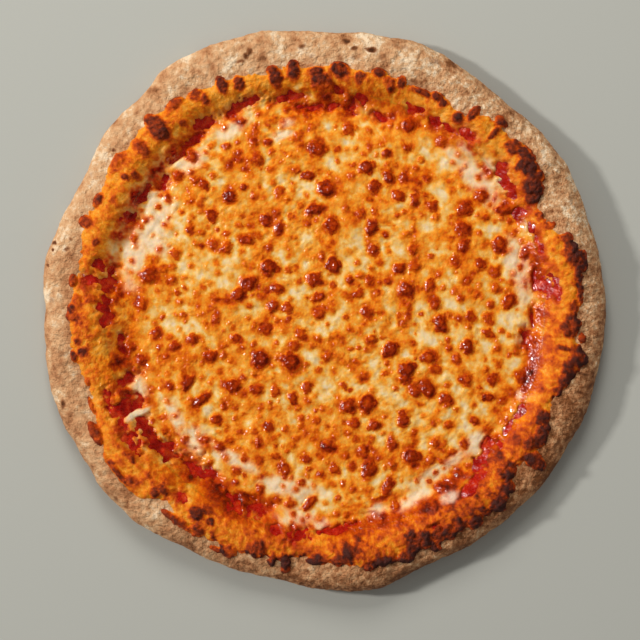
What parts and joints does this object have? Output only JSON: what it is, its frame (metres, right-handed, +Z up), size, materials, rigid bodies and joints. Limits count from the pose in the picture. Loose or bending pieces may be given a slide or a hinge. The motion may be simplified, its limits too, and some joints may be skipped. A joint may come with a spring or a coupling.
{
  "type": "cheese pizza",
  "caption": "Whole baked cheese pizza: a puffed, uneven dough rim round a melted, blistered and browned cheese top, with tomato sauce showing along the foot of the rim.",
  "frame": {"origin": "centre of the underside's bounding box, on the surface that the pizza rests on", "axes": "+Z up out of the cheese; +Y towards the top of the picture and +X to its right"},
  "size_m": [0.3506, 0.3498, 0.026],
  "materials": {
    "baked_dough": "dry baked dough, matt, with flour and brown patches",
    "tomato_sauce": "wet cooked tomato sauce, glossy and a little lumpy",
    "melted_cheese": "melted mozzarella with oily sheen, browned blisters and scorched spots"
  },
  "bodies": {
    "root": {"crust": "baked_dough", "tomato_sauce": "tomato_sauce", "cheese": "melted_cheese"}
  },
  "joints": []
}
